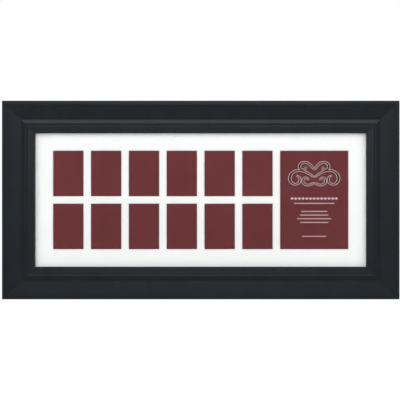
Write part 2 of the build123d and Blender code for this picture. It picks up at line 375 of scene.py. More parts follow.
clear_acrylic, tree = empty_material("clear_low_glare_acrylic")
see_through = add_node(tree, "BsdfTransparent", Color=(0.992, 0.995, 0.996, 1.0))
polish = add_node(tree, "BsdfAnisotropic", Roughness=0.05)
rise = add_node(tree, "Fresnel", IOR=1.12)
show_mix(tree, rise.outputs["Fac"], see_through, polish)

# %% [markdown]
# The back is hardboard: wood pulp pressed hot against a polished plate. Its face is smooth and
# brown, with a haze of fine fibres in lighter and darker flecks and a low waxy shine.

# %% Hardboard
hardboard, shader = new_finish("smooth_hardboard", 0.5, specular=0.4)
flecks = pattern(shader, 620.0, detail=6.0, rough=0.7)
colour_by(
    shader, flecks, (0.32, 0.125, 0.066, 0.032), (0.5, 0.195, 0.108, 0.054), (0.68, 0.30, 0.18, 0.095)
)
roughen_by(shader, flecks, 0.42, 0.6)
raise_by(shader, flecks, 0.02, strength=0.5)

# %% [markdown]
# The small hardware is stamped or drawn steel with bright zinc on it. Zinc plating has a cool
# grey body, a spangle of slightly warmer and duller spots, and fine rubbing marks from being
# tumbled in a barrel. The nails are the same steel with no plating, so they are darker. The
# bumpers are soft black rubber with a dry bloom on it.

# %% Zinc, plain steel and soft bumpers
zinc, shader = new_finish("bright_zinc", 0.3, metallic=1.0)
spangle = pattern(shader, 480.0)
colour_by(shader, spangle, (0.3, 0.50, 0.50, 0.49), (0.55, 0.60, 0.61, 0.62), (0.75, 0.53, 0.52, 0.47))
rubbed = pattern(shader, 1500.0, detail=5.0, stretch=(1.0, 1.0, 0.25), rough=0.7)
roughen_by(shader, rubbed, 0.22, 0.42)
raise_by(shader, rubbed, 0.008, strength=0.5)

plain_steel, shader = new_finish("plain_nail_steel", 0.42, metallic=1.0)
scale_marks = pattern(shader, 900.0, detail=4.0)
colour_by(shader, scale_marks, (0.3, 0.15, 0.15, 0.15), (0.7, 0.24, 0.24, 0.235))
roughen_by(shader, scale_marks, 0.35, 0.55)

soft_rubber, shader = new_finish("soft_black_rubber", 0.75, specular=0.3)
bloom = pattern(shader, 500.0)
colour_by(shader, bloom, (0.3, 0.022, 0.022, 0.023), (0.7, 0.034, 0.034, 0.035))
raise_by(shader, bloom, 0.02, strength=0.4)
print("finishes:", sorted(material.name for material in bpy.data.materials))

# %% [markdown]
# A moulding's cutter is ground to straight lines and arcs, so the section is drawn from the same
# two. An arc is fixed by its ends and the angle it turns by. One helper finds that angle for a
# curve that starts level, and one for a corner. Each corner is eased by a fraction of a
# millimetre, because a perfectly sharp corner never catches light and looks drawn rather than
# made.


# %% Arcs
def arc(start, end, turn, steps):
    """Even points from start to end on the arc whose heading turns left by this angle."""
    start, end = complex(*start), complex(*end)
    angle = np.linspace(0, turn, steps + 1)
    share = np.sin(angle / 2) / np.sin(turn / 2) * np.exp(0.5j * (angle - turn))
    points = start + (end - start) * share
    return np.stack((points.real, points.imag), axis=1)


def falling_arc(crest, end, steps):
    """An arc that is level at the crest, so it turns by twice the slope of its chord."""
    run = end[0] - crest[0]
    slope = np.arctan2(crest[1] - end[1], abs(run))
    return arc(crest, end, -2 * slope * np.sign(run), steps)


def eased(before, corner, after, radius, steps=5):
    """A small arc that rounds a corner, tangent to both of its sides."""
    corner = np.array(corner, dtype=float)
    way_in, way_out = corner - before, after - corner
    turn = np.arctan2(way_in[0] * way_out[1] - way_in[1] * way_out[0], way_in @ way_out)
    reach = radius * np.tan(abs(turn) / 2)
    start = corner - way_in / np.linalg.norm(way_in) * reach
    end = corner + way_out / np.linalg.norm(way_out) * reach
    return arc(start, end, turn, steps)


# %% [markdown]
# The moulding's section is what makes the frame look like this frame. From outside in there is
# a flat shoulder, a small step, a wide shallow cove, a full bead, a narrow quirk, and a plain
# band that slopes down to the sight edge. The bead rolls over to the foot of the quirk, as the
# paint and the sanding leave it, and that roll draws the thin bright line along the lowest rail.

# %% Sizes of the moulding
lip_width = 3.6
lip_thickness = 8.4
rabbet_depth = 7.3
shoulder_width = 6.7
shoulder_step = 1.3
band_width = 11.6
band_rise = 0.8
quirk_width = 0.9
quirk_depth = 0.4
bead_inner_step = 0.9
bead_crown_width = 5.0
bead_crown_fall = 0.6
bead_crest_inset = 2.4
bead_flank_width = 5.0
bead_flank_rise = 2.6
cove_sag = 0.2
outer_edge_round = 1.6
sight_edge_round = 1.6
shoulder_edge_round = 0.3
back_edge_round = 0.6
curve_steps = 26
crown_steps = 19
roll_steps = 25
round_steps = 10
print("lip:", lip_width, "x", lip_thickness, "bead:", bead_crown_width + bead_flank_width)

# %% [markdown]
# The outline runs once round, its painted sides first and the two bare ones last, so that a
# side's number tells its finish. Shading is blended across every point, so a long flat side gets
# a point near each end: the blend stays there, and the rest stays flat.


# %% The moulding's section
def hold_flats(points, margin=0.25, shortest=2.0):
    """Adds a point near both ends of each long side, which keeps a flat side's shading flat."""
    side = np.diff(points, axis=0)
    length = np.linalg.norm(side, axis=1, keepdims=True)
    inset = side / length * margin
    rows = np.stack((points[:-1], points[:-1] + inset, points[1:] - inset), axis=1)
    is_long = length > shortest
    wanted = np.hstack((np.full_like(is_long, True), is_long, is_long))
    return np.vstack((rows[wanted], points[-1:]))


def moulding_section():
    """The closed outline, x inwards and y forwards, and how many of its sides are painted."""
    sight_y = rabbet_depth + lip_thickness
    band_x = moulding_width - band_width
    band_y = sight_y + band_rise
    bead_x = band_x - quirk_width
    quirk_y = band_y - quirk_depth
    bead_y = quirk_y + bead_inner_step
    crest = (bead_x - bead_crest_inset, bead_y)
    crown = (bead_x - bead_crown_width, bead_y - bead_crown_fall)
    cove_x = crown[0] - bead_flank_width
    cove_y = crown[1] - bead_flank_rise
    shoulder = (shoulder_width, moulding_depth)
    step = (shoulder_width, moulding_depth - shoulder_step)
    rabbet_x = moulding_width - lip_width
    ledge_corner = (moulding_width, rabbet_depth)
    sight_corner = (moulding_width, sight_y)
    cove_turn = 4 * np.arctan(2 * cove_sag / np.hypot(cove_x - step[0], cove_y - step[1]))
    # Only its ends are kept, and a point a tenth of the way in from each.
    quirk_side = np.linspace((bead_x, quirk_y), (band_x, band_y), 11)[[0, 1, -2, -1]]
    painted = [
        eased((rabbet_x, 0), (0, 0), (0, moulding_depth), back_edge_round),
        eased((0, 0), (0, moulding_depth), shoulder, outer_edge_round, round_steps),
        eased((0, moulding_depth), shoulder, step, shoulder_edge_round),
        arc(step, (cove_x, cove_y), cove_turn, curve_steps),
        falling_arc(crest, crown, crown_steps)[::-1],
        falling_arc(crest, (bead_x, quirk_y), roll_steps)[1:-1],
        quirk_side,
        eased((band_x, band_y), sight_corner, ledge_corner, sight_edge_round, round_steps),
        [ledge_corner],
    ]
    painted = hold_flats(np.vstack([np.asarray(part, dtype=float) for part in painted]))
    bare = np.array([(rabbet_x, rabbet_depth), (rabbet_x, 0.0)])
    return np.vstack((painted, bare)), len(painted)


section, painted_sides = moulding_section()
print("section points:", len(section), "of them painted:", painted_sides)

# %% [markdown]
# A rail is that section pushed along a straight line and cut at forty-five degrees at both ends.
# The cut needs no separate step: a point that lies further in simply stops that much sooner. The
# last tenth of a millimetre is drawn in a little, because a joined mitre always keeps a hairline
# where the two paint films meet, and that hairline is how one sees that the corner is a joint.

# %% Four mitred rails
HAIRLINE, FILM_GAP = 0.14, 0.02


def drawn_in(outline, distance):
    """The outline moved inwards: each point along the average of its two sides' normals."""
    back = outline - np.roll(outline, 1, axis=0)
    ahead = np.roll(outline, -1, axis=0) - outline
    normal = -to_the_left(back) - to_the_left(ahead)
    normal /= np.linalg.norm(normal, axis=1)[:, None]
    return outline + normal * distance


def keep_mitres_crisp(mesh, columns):
    """Marks the two rings of edges beside the hairlines as sharp: both ends lie in one station."""
    pairs = np.empty(len(mesh.edges) * 2, dtype=np.int32)
    mesh.edges.foreach_get("vertices", pairs)
    station = pairs.reshape(-1, 2) // columns
    beside = (station[:, 0] == station[:, 1]) & np.isin(station[:, 0], (1, 2))
    sharp = np.empty(len(mesh.edges), dtype=bool)
    mesh.edges.foreach_get("use_edge_sharp", sharp)
    mesh.edges.foreach_set("use_edge_sharp", sharp | beside)


def build_rail(name, length, edge, inward):
    """Sections at four stations: mitre face, full size, full size, mitre face."""
    inward = np.array((inward[0], 0.0, inward[1]))
    forward = np.array((0.0, -1.0, 0.0))
    along = np.cross(inward, forward)
    origin = np.array((edge[0], back_y, edge[1]))
    face = (drawn_in(section, HAIRLINE), FILM_GAP)
    full = (section, HAIRLINE * 2)
    stations = []
    for (outline, short), side in ((face, -1), (full, -1), (full, 1), (face, 1)):
        run = side * (length / 2 - outline[:, 0] - short)
        flat_part = outline[:, :1] * inward + outline[:, 1:] * forward
        stations.append(origin + flat_part + run[:, None] * along)
    flat, quads, ends = grid_mesh(np.stack(stations))
    girth = np.concatenate(([0], np.cumsum(np.linalg.norm(np.diff(section, axis=0), axis=1))))
    run = (flat - origin) @ along
    uv = np.stack((run, np.tile(girth, len(stations))), axis=1)
    side_number = np.tile(np.arange(len(section)), len(stations) - 1)
    is_bare = np.concatenate((side_number >= painted_sides - 1, np.ones(len(ends), dtype=bool)))
    rail = add_piece(
        name + "_moulding", [(flat, quads, ends)], [satin_black, bare_wood], "frame",
        name, uv=uv, finish_index=is_bare,
    )
    keep_mitres_crisp(rail.data, len(section))
    return rail


half_width = frame_width / 2
rails = [
    build_rail("bottom_rail", frame_width, (0, 0), (0, 1)),
    build_rail("top_rail", frame_width, (0, frame_height), (0, -1)),
    build_rail("left_rail", frame_height, (-half_width, centre_height), (1, 0)),
    build_rail("right_rail", frame_height, (half_width, centre_height), (-1, 0)),
]
print("rails:", [rail.name for rail in rails])

# %% [markdown]
# The flat sheets are already exactly right as cut: a box is a box, and the mat's windows have
# their true sloping edges. They keep their own meshes and only take their finish.

# %% Finishes for the sheets that keep their shape
SHEETS = {
    "window_mat": mat_board,
    "insert_sheet": maroon_paper,
    "clear_facing": clear_acrylic,
    "back_board": hardboard,
}
for node, material in SHEETS.items():
    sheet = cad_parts[node]
    if not sheet.material_slots:
        sheet.data.materials.append(material)
    for holder in sheet.material_slots:
        holder.material = material
print("finished sheets:", list(SHEETS))

# %% [markdown]
# The sheet is printed, as the sheet in a new frame is before prints go in. A deeper line along
# the edge of every window is painted shade: it stands for the shadow that the mat's cut edge
# casts on the sheet. Each line is a thin flat strip that stands one film of ink proud.

# %% Strips of ink, and a painted shade line in each window
INK, SHADE_RING_WIDTH, CLEAR_OF_CUT = 0.012, 1.0, 0.01
WINDOW = np.array((50.8, 76.2))
GAP = 12.7
COLUMNS, ROWS = 6, 2
LARGE_WINDOW = np.array((114.3, ROWS * WINDOW[1] + (ROWS - 1) * GAP))
BORDER = (mat_high[2] - mat_low[2] - LARGE_WINDOW[1]) / 2


def bar(edges, closed=False):
    """A bar with four long edges: each is a line of (x, z) points at one depth y."""
    rows = [np.stack((xz[:, 0], np.full(len(xz), y), xz[:, 1]), axis=1) for xz, y in edges]
    return grid_mesh(np.stack(rows, axis=1), close_rows=closed)


def strip(one_side, other_side, level=1, closed=False):
    """A flat strip between two lines of (x, z) points, its front this many films off the sheet."""
    front = sheet_low[1] - INK * level
    back = sheet_low[1] + INK
    edges = ((one_side, front), (other_side, front), (other_side, back), (one_side, back))
    return bar(edges, closed)


def painted_shade_ring(centre, size):
    """A rectangular ring of painted shade whose outer edge lies on the cut of one window."""
    corner = np.array(((-1, -1), (1, -1), (1, 1), (-1, 1)))
    outer = centre + corner * (size / 2 - CLEAR_OF_CUT)
    return strip(outer, outer - corner * SHADE_RING_WIDTH, closed=True)


low_corner = mat_low[[0, 2]] + BORDER
small_centres = [
    low_corner + WINDOW / 2 + (WINDOW + GAP) * (column, row)
    for column in range(COLUMNS)
    for row in range(ROWS)
]
large_centre = mat_high[[0, 2]] - BORDER - LARGE_WINDOW / 2
# Painted shade: a dark ring just inside each window, where the mat's cut edge would shade the sheet.
painted_shade_rings = [painted_shade_ring(centre, WINDOW) for centre in small_centres]
painted_shade_rings.append(painted_shade_ring(large_centre, LARGE_WINDOW))
add_piece("insert_painted_shade_rings", painted_shade_rings, [painted_shade_ink], "frame")
print("key lines:", len(painted_shade_rings), "border:", round(BORDER, 2))

# %% [markdown]
# The large window has an ornament over a few plain borders. The ornament is a pen flourish: its
# line bends a little more with each step, which mathematicians call a clothoid, so it winds
# itself into a scroll. Three inks make it: a pale line, a narrower maroon one on that, and a dark
# one on top, so a fine pale outline runs round every stroke, also where two strokes cross.

# %% Printed ornament
STROKE_STEPS = 120
THIN_STROKE, FINEST_SHARE = 1.7, 0.12
UPRIGHT_POWER, POINT_POWER = 1.5, 0.35
ORNAMENT_CENTRE = large_centre + (0.0, 43.0)
# Each stroke: start, heading, length, bend at its start and its end, and width of a down stroke.
STROKES = (
    ((0.0, -5.0), 0.62, 88.0, 0.004, -0.157, 3.2),
    ((0.0, 7.5), 0.95, 50.0, 0.010, -0.240, 2.9),
    ((0.0, -13.5), -0.62, 38.0, 0.012, 0.265, 2.4),
)


def pen_line(path, widths, level=1):
    """A strip that follows a path: at each point two edges half a width to either side."""
    side = to_the_left(np.gradient(path, axis=0)) * widths[:, None] / 2
    return strip(path + side, path - side, level)


def flourish(start, heading, length, bend_start, bend_end):
    """A clothoid: heading is the running sum of a bend that grows evenly from start to end."""
    bend = np.linspace(bend_start, bend_end, STROKE_STEPS)
    step = length / (STROKE_STEPS - 1)
    angle = heading + np.cumsum(bend) * step
    moves = np.stack((np.cos(angle), np.sin(angle)), axis=1) * step
    return np.array(start) + np.cumsum(moves, axis=0)


def swelling(path, thin, thick):
    """Pen widths: thick on down strokes and thin on level ones, drawn to a point at each end."""
    step = np.gradient(path, axis=0)
    upright = np.abs(step[:, 1]) / np.linalg.norm(step, axis=1)
    ends = np.sin(np.linspace(0, np.pi, len(path))) ** POINT_POWER
    return (thin + (thick - thin) * upright**UPRIGHT_POWER) * np.maximum(ends, FINEST_SHARE)


strokes = []
for mirror in (1, -1):
    for *course, thick in STROKES:
        line = flourish(*course) * (mirror, 1)
        strokes.append((ORNAMENT_CENTRE + line, swelling(line, THIN_STROKE, thick)))
for name, ink, extra, level in (
    ("insert_outline_ink", pale_ink, 2.2, 1),
    ("insert_ground_ink", maroon_paper, 0.5, 2),
    ("insert_stroke_ink", dark_ink, 0.0, 3),
):
    lines = [pen_line(line, widths + extra, level) for line, widths in strokes]
    add_piece(name, lines, [ink], "frame")
print("strokes:", len(strokes))

# %% [markdown]
# The borders are level rules that swell and shrink, one into lozenges and the others into beads.
# A short list of widths, repeated along the rule, makes either kind.

# %% Printed borders
POINTS_PER_MM = 10
LOZENGES = {"offsets": (0.0, 2.2, 4.4, 5.3), "widths": (0.3, 5.4, 0.3, 1.8), "period": 6.2}
BEADS = {"offsets": (0.0, 0.5, 1.2, 1.9, 2.4), "widths": (0.3, 1.8, 2.3, 1.8, 0.3), "period": 3.4}
# Each rule: height above the middle of the window, and length.
LOZENGE_RULES = ((2.4, 78.8),)
BEADED_RULES = (
    (-5.6, 67.0), (-19.2, 43.2), (-25.3, 46.6), (-31.4, 56.8), (-37.6, 46.6), (-61.0, 39.8),
)


def swelling_rule(height, length, offsets, widths, period):
    """A level strip whose width runs through the same widths again in every period."""
    across = np.linspace(-length / 2, length / 2, int(length * POINTS_PER_MM) + 1)
    path = np.stack((across, np.full(len(across), height)), axis=1)
    width = np.interp(across + length / 2, offsets, widths, period=period)
    return pen_line(large_centre + path, width)


borders = [swelling_rule(*rule, **LOZENGES) for rule in LOZENGE_RULES]
borders += [swelling_rule(*rule, **BEADS) for rule in BEADED_RULES]
add_piece("insert_borders", borders, [pale_ink], "frame")
print("border lines:", len(borders))

# %% [markdown]
# A turn button is a strip of steel stamped to shape: round at the screw and narrower at the tip.
# Seen from above, its outline is two circles with a taut string round them, so the distance to
# the edge has a formula for every direction from the screw.

# %% A button's outline
HUB, TIP, REACH = 5.6, 3.6, 20.0
BELOW_SQUARE = 1.4


def string_outline(angle):
    """Distance to a string round the two circles: tip arc, straight side, then hub arc.

    The side's formula is held below a right angle, where no direction uses it.
    """
    spacing = REACH - TIP
    side_angle = np.arccos((HUB - TIP) / spacing)
    tip_angle = np.arctan2(TIP * np.sin(side_angle), spacing + TIP * np.cos(side_angle))
    a = np.abs((angle + np.pi) % (2 * np.pi) - np.pi)
    tip = spacing * np.cos(a) + np.sqrt(np.maximum(TIP**2 - (spacing * np.sin(a)) ** 2, 0))
    side = HUB / np.cos(np.minimum(np.abs(a - side_angle), BELOW_SQUARE))
    return np.where(a < tip_angle, tip, np.where(a < side_angle, side, HUB))


print("button:", REACH + HUB, "mm long,", 2 * HUB, "mm wide")

# %% [markdown]
# The stamp also raises a rib down the middle for stiffness, a rim round the hole and a tip that
# lifts for a fingertip. Each is a height added to the flat sheet. Rings of points run from the
# hole out over the top, round the eased edge and back in underneath.

# %% Turn buttons
BUTTON_SHEET, BUTTON_EASE, SEAT_GAP = 1.0, 0.22, 0.15
LIP_LENGTH, LIP_RISE = 5.0, 1.2
RIB_RISE, RIB_HALF_WIDTH = 0.35, 1.15
RIB_START, RIB_END = (5.4, 7.0), (12.4, 14.4)
RIM_RISE, RIM_RADIUS, RIM_HALF_WIDTH = 0.16, 4.2, 0.45
SHANK = 1.7
BUTTON_BORE = SHANK + 0.08
TURN_STEPS = 96


def rings(turn, profile):
    """Radius and height at every angle, from pairs of radii and heights that fit the angles."""
    parts = [np.broadcast_arrays(radius, height, turn)[:2] for radius, height in profile]
    return [np.vstack(rows) for rows in zip(*parts)]


def ramp_up(value, start, end):
    """Zero before start, one after end, and an even S curve between."""
    t = np.clip((value - start) / (end - start), 0, 1)
    return t * t * (3 - 2 * t)


def button_place(node):
    """The pivot of a button on the rail's back, and the way from it to its tip."""
    low, high = box_mm(node)
    middle = (low + high) / 2
    axis = 2 if high[2] - low[2] > high[0] - low[0] else 0
    towards = 1.0 if middle[axis] < (0.0, 0.0, centre_height)[axis] else -1.0
    inward = np.zeros(3)
    inward[axis] = towards
    pivot = np.array((middle[0], low[1], middle[2]))
    pivot[axis] = low[axis] + HUB if towards > 0 else high[axis] - HUB
    return pivot, inward


def build_button(node):
    """Rings from the hole out over the top, round the edge and back in underneath."""
    pivot, inward = button_place(node)
    outwards = np.array((0.0, 1.0, 0.0))
    sideways = np.cross(outwards, inward)
    turn = full_turn(TURN_STEPS)
    edge = string_outline(turn) - BUTTON_EASE
    disc = BUTTON_BORE + np.linspace(0, 1, 22)[:-1, None] * (edge - BUTTON_BORE)
    curve = np.linspace(0, np.pi / 2, 4)[:, None]
    out, down = BUTTON_EASE * np.sin(curve), BUTTON_EASE * np.cos(curve)
    radius, height = rings(turn, [
        (disc, BUTTON_SHEET),
        (edge + out, BUTTON_SHEET - BUTTON_EASE + down),
        (edge + down, BUTTON_EASE - out),
        (disc[::-1], 0.0),
    ])
    x, y = radius * np.cos(turn), radius * np.sin(turn)
    lip = LIP_RISE * ramp_up(x, REACH - LIP_LENGTH - 1.0, REACH)
    rib = RIB_RISE * np.exp(-((y / RIB_HALF_WIDTH) ** 2))
    rib *= ramp_up(x, *RIB_START) * (1 - ramp_up(x, *RIB_END))
    rim = RIM_RISE * np.exp(-(((np.hypot(x, y) - RIM_RADIUS) / RIM_HALF_WIDTH) ** 2))
    z = height + lip + rib + rim
    grid = pivot + x[..., None] * inward + y[..., None] * sideways + z[..., None] * outwards
    mesh = grid_mesh(grid, close_rows=True)
    add_piece(node + "_steel", [mesh], [zinc], node, node)
    return pivot


button_nodes = sorted(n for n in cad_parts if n.endswith("turn_button"))
pivots = {node: build_button(node) for node in button_nodes}
print("buttons:", {node: np.round(place, 1).tolist() for node, place in pivots.items()})

# %% [markdown]
# The screws are pan heads with a cross recess. A punch presses it in, deepest in the middle and
# fading out along four arms, and one formula gives its depth at every point of the head.

# %% Cross recess
ARM_HALF_WIDTH, ARM_WALL, ARM_LENGTH, ARM_END = 0.52, 0.18, 1.95, 0.35
RECESS_DEPTH, RECESS_SLOPE = 1.35, 0.38


def cross_recess(x, y):
    """Depth of the recess: full at the centre, and falling away along each of the four arms."""
    depth = np.zeros_like(x)
    for along, aside in ((np.abs(x), np.abs(y)), (np.abs(y), np.abs(x))):
        wall = np.clip((ARM_HALF_WIDTH - aside) / ARM_WALL, 0, 1)
        end = np.clip((ARM_LENGTH - along) / ARM_END, 0, 1)
        depth = np.maximum(depth, wall * end * (RECESS_DEPTH - RECESS_SLOPE * along))
    return depth


print("recess:", 2 * ARM_LENGTH, "mm across,", RECESS_DEPTH, "mm deep")

# %% [markdown]
# The head is a shape of revolution: a short upright side, a rounded shoulder and a nearly flat
# top, with the recess taken off its height. Below it the shank carries a real thread, a ridge
# that climbs one pitch in each turn.

# %% Screws
HEAD_RADIUS, HEAD_HEIGHT = 3.2, 1.9
HEAD_SIDE, HEAD_CORNER, HEAD_DRAFT, HEAD_ROUND, HEAD_CROWN = 0.75, 0.12, 0.05, 0.95, 0.1
BITE, PITCH, CORE, RIDGE, RIDGE_SHARE = 7.5, 1.3, 1.22, 0.45, 0.28
POINT_START, THREAD_STOP = 0.05, 0.4
CORE_TIP, CORE_TAPER, RIDGE_TAPER = 0.05, 2.2, 2.0
HEAD_CENTRE = 0.02


def column(*values):
    """Values one under another, each the same all the way round."""
    return np.array(values, dtype=float)[:, None]


def turned(centre, turn, profile):
    """Rings round a line that runs straight back through centre."""
    radius, height = rings(turn, profile)
    x, y, z = centre
    grid = (x + radius * np.cos(turn), y + height, z + radius * np.sin(turn))
    return grid_mesh(np.stack(grid, axis=-1))


def screw_grid(seat, into):
    """Rings from the point up the threaded shank, under the head, and over it to the centre."""
    turn = full_turn(TURN_STEPS)
    above_point = np.linspace(POINT_START, BITE - THREAD_STOP, 44)[:, None]
    thread_height = above_point - into - BITE
    wave = (thread_height / PITCH - turn / (2 * np.pi)) % 1.0
    ridge = RIDGE * np.clip(1 - np.abs(wave - 0.5) / RIDGE_SHARE, 0, 1)
    core = CORE * np.minimum(1.0, above_point / CORE_TAPER + CORE_TIP)
    curve = np.linspace(0, np.pi / 2, 7)[:, None]
    share = np.linspace(1, HEAD_CENTRE, 44)[1:, None]
    flat_radius = HEAD_RADIUS - HEAD_DRAFT - HEAD_ROUND
    top = flat_radius * share
    recess = cross_recess(top * np.cos(turn), top * np.sin(turn))
    under_head = column(SHANK, SHANK, HEAD_RADIUS - HEAD_CORNER, HEAD_RADIUS)
    round_height = HEAD_SIDE + (HEAD_HEIGHT - HEAD_CROWN - HEAD_SIDE) * np.sin(curve)
    return turned(seat, turn, [
        (core + ridge * np.minimum(1.0, above_point / RIDGE_TAPER), thread_height),
        (under_head, column(-into, 0, 0, HEAD_CORNER)),
        (flat_radius + HEAD_ROUND * np.cos(curve), round_height),
        (top, HEAD_HEIGHT - HEAD_CROWN * share**2 - recess),
    ])


def add_screws(name, seats, into):
    """All the screws of one solid part, each seated this far above the wood."""
    screws = [screw_grid(seat, into) for seat in seats]
    piece = add_piece(name + "_cross_head", screws, [zinc], "frame", name)
    print(name + ":", len(seats), "faces:", len(piece.data.polygons))


button_stack = BUTTON_SHEET + 2 * SEAT_GAP
button_seats = [(pivot[0], back_y + button_stack, pivot[2]) for pivot in pivots.values()]
add_screws("turn_button_screws", button_seats, button_stack)

# %% [markdown]
# Each hanger is a strap of steel folded round the straight side of a wire ring. The fold is one
# line seen from the edge: in along the wood, round the wire and out again on top. A flat section
# with eased corners follows that line, and narrows to a half circle at the tail.

# %% Hanger straps
SIDES = {"left": -1, "right": 1}
STRAP_SHEET, STRAP_EASE, STRAP_SKIN = 0.8, 0.18, 0.01
STRAP_LENGTH, STRAP_HALF_WIDTH, STRAP_HOLE = 15.0, 5.3, 8.6
STRAP_RUN, KNUCKLE_STEPS = 30, 39
STRAP_END_SQUARED, STRAP_LEAST = 0.01, 0.02
WIRE = 1.1
KNUCKLE_BORE = WIRE + 0.06
KNUCKLE = KNUCKLE_BORE + STRAP_SHEET


def strap_path():
    """Side view of the fold: lower layer, about five sixths of a turn, then the upper layer."""
    lower_y, upper_y = STRAP_SHEET * 0.5, STRAP_SHEET * 1.5
    bend = KNUCKLE_BORE + lower_y
    tail = STRAP_LENGTH - STRAP_SKIN
    last_angle = np.arcsin((upper_y - KNUCKLE) / bend)
    meet_x = bend * np.cos(last_angle)
    knuckle = arc((0, lower_y), (meet_x, upper_y), last_angle - 1.5 * np.pi, KNUCKLE_STEPS)
    closeness = 1 - np.linspace(0, 1, STRAP_RUN) ** 2
    lower = np.stack((tail * closeness, np.full(STRAP_RUN, lower_y)), axis=1)
    upper_x = meet_x + (tail - meet_x) * closeness[::-1]
    upper = np.stack((upper_x, np.full(STRAP_RUN, upper_y)), axis=1)
    return np.vstack((lower[:-1], knuckle[:-1], upper[1:]))


def build_strap(side, sign):
    """The strap's flat section carried along the fold, with the tail's half circle as its width."""
    name = f"{side}_hanger_strap"
    low, high = box_mm(name)
    axis_x = high[0] - KNUCKLE if sign < 0 else low[0] + KNUCKLE
    height = (low[2] + high[2]) / 2
    fold_x, fold_y = strap_fold[:, :1], strap_fold[:, 1:]
    normal = to_the_left(np.gradient(strap_fold, axis=0))
    past = np.clip(fold_x - (STRAP_LENGTH - STRAP_HALF_WIDTH), 0, STRAP_HALF_WIDTH)
    half = np.sqrt(np.maximum(STRAP_HALF_WIDTH**2 - past**2, STRAP_END_SQUARED))
    thick = STRAP_SHEET / 2 - STRAP_SKIN
    flat = thick - STRAP_EASE
    edge = np.array((1, 1, 1, 1, -1, -1, -1, -1))
    rise = np.array((-thick, -flat, flat, thick, thick, flat, -flat, -thick))
    inset = STRAP_EASE * np.array((1, 0, 0, 1, 1, 0, 0, 1))
    x = axis_x + sign * (fold_x + normal[:, :1] * rise)
    y = back_y + fold_y + normal[:, 1:] * rise
    z = height + edge * np.maximum(half - inset, STRAP_LEAST)
    mesh = grid_mesh(np.stack((x, y, z), axis=-1))
    add_piece(name + "_folded", [mesh], [zinc], "frame", name)
    return axis_x, height


strap_fold = strap_path()
strap_places = {side: build_strap(side, sign) for side, sign in SIDES.items()}
hanger_seats = [
    (axis_x + SIDES[side] * STRAP_HOLE, back_y + 2 * STRAP_SHEET, height)
    for side, (axis_x, height) in strap_places.items()
]
add_screws("hanger_screws", hanger_seats, 2 * STRAP_SHEET)
print("straps:", {side: np.round(place, 2).tolist() for side, place in strap_places.items()})
print("each unfolded:", round(np.linalg.norm(np.diff(strap_fold, axis=0), axis=1).sum(), 1), "mm")

# %% [markdown]
# The ring is one piece of round wire bent into a D. Its line is a straight bar, two tight corners,
# two short sides and a half circle. A circle carried along that line makes the wire, and because
# the line lies in one plane, the circle needs no twisting to meet itself again.

# %% D rings
INNER_WIDTH, SIDE_LENGTH, CORNER = 14.0, 6.0, 2.3
WIRE_SKIN = 0.01


def ring_line():
    """The D from the middle of its bar round to it again: half of it, and the same mirrored."""
    half_span = INNER_WIDTH / 2 + WIRE
    half_bar = half_span - CORNER
    end = CORNER + SIDE_LENGTH
    half = np.vstack((
        np.linspace((0, 0), (0, half_bar), 6, endpoint=False),
        arc((0, half_bar), (CORNER, half_span), -np.pi / 2, 10)[:-1],
        np.linspace((CORNER, half_span), (end, half_span), 4, endpoint=False),
        arc((end, half_span), (end + half_span, 0), -np.pi / 2, 22),
    ))
    return np.vstack((half, half[-2:0:-1] * (1, -1)))


def build_ring(side, sign):
    """A circle of wire at each point of the D, in the plane across the line."""
    axis_x, height = strap_places[side]
    aside = -to_the_left(np.roll(wire_line, -1, axis=0) - np.roll(wire_line, 1, axis=0))
    turn = full_turn(28)
    wire = WIRE - WIRE_SKIN
    flat = wire_line[:, None, :] + wire * np.cos(turn)[None, :, None] * aside[:, None, :]
    lift = np.broadcast_to(wire * np.sin(turn), flat.shape[:2])
    grid = (axis_x - sign * flat[..., 0], back_y + KNUCKLE + lift, height + flat[..., 1])
    mesh = grid_mesh(np.stack(grid, axis=-1), close_rows=True)
    name = f"{side}_hanger_ring"
    add_piece(name + "_wire", [mesh], [zinc], name, name)


wire_line = ring_line()
for side, sign in SIDES.items():
    build_ring(side, sign)
wire_steps = np.roll(wire_line, -1, axis=0) - wire_line
print("wire in each ring:", round(np.linalg.norm(wire_steps, axis=1).sum(), 1), "mm")

# %% [markdown]
# Two soft bumpers keep the lower corners off the wall. They are small turned forms: a straight
# skirt, a rounded shoulder and a slightly crowned top, as a drop of rubber has.

# %% Wall bumpers
BUMPER_RADIUS, BUMPER_HEIGHT, BUMPER_ROUND = 5.5, 4.0, 1.4
BUMPER_FOOT, FOOT_HEIGHT, BUMPER_DRAFT, BUMPER_CROWN = 0.25, 0.2, 0.05, 0.1
BUMPER_CENTRE = 0.03


def bumper_grid(centre_x, centre_z):
    """Rings from the foot up the skirt, round the shoulder and over the crown to the middle."""
    curve = np.linspace(0, np.pi / 2, 9)[:, None]
    share = np.linspace(1, BUMPER_CENTRE, 10)[1:, None]
    top = BUMPER_RADIUS - BUMPER_CROWN - BUMPER_ROUND
    skirt_top = BUMPER_HEIGHT - BUMPER_ROUND - BUMPER_CROWN
    return turned((centre_x, back_y, centre_z), full_turn(48), [
        (
            column(BUMPER_RADIUS - BUMPER_FOOT, BUMPER_RADIUS, BUMPER_RADIUS - BUMPER_DRAFT),
            column(0.0, FOOT_HEIGHT, skirt_top - BUMPER_DRAFT),
        ),
        (top + BUMPER_ROUND * np.cos(curve), skirt_top + BUMPER_ROUND * np.sin(curve)),
        (top * share, BUMPER_HEIGHT - BUMPER_CROWN * share**2),
    ])


bumper_low, bumper_high = box_mm("wall_bumpers")
bumper_x = bumper_high[0] - BUMPER_RADIUS
bumper_z = (bumper_low[2] + bumper_high[2]) / 2
bumpers = [bumper_grid(-bumper_x, bumper_z), bumper_grid(bumper_x, bumper_z)]
add_piece("wall_bumpers_domed", bumpers, [soft_rubber], "frame", "wall_bumpers")
print("bumpers at x:", round(-bumper_x, 2), round(bumper_x, 2), "height:", round(bumper_z, 2))

